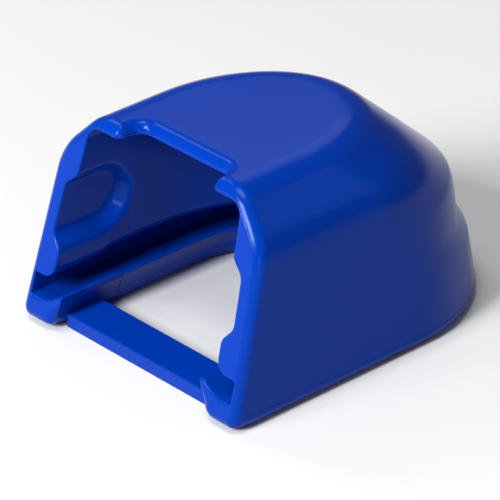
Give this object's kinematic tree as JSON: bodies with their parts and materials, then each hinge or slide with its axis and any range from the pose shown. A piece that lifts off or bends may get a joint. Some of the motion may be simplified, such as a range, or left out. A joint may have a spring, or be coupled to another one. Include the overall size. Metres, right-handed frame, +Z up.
{
  "type": "ball coupling bumper cover",
  "caption": "Slip-on hood for the head of a ball coupling, open at the front and below, with inner rails, pocketed side pads, a notched deck edge and a bar across the feet.",
  "frame": {"origin": "on the floor, in the middle of the base's bounding box", "axes": "+Z up; the mouth faces -Y and the bumper is at +Y; +X is to the right when facing +Y from the mouth"},
  "size_m": [0.1172, 0.1565, 0.084],
  "materials": {
    "hood": "satin blue soft plastic",
    "rails": "satin blue soft plastic"
  },
  "bodies": {
    "root": {"hood_shell": "hood", "rail_left": "rails", "rail_right": "rails", "rail_rear": "rails", "rail_end_left": "rails", "rail_end_right": "rails", "crossbar": "rails"}
  },
  "joints": []
}
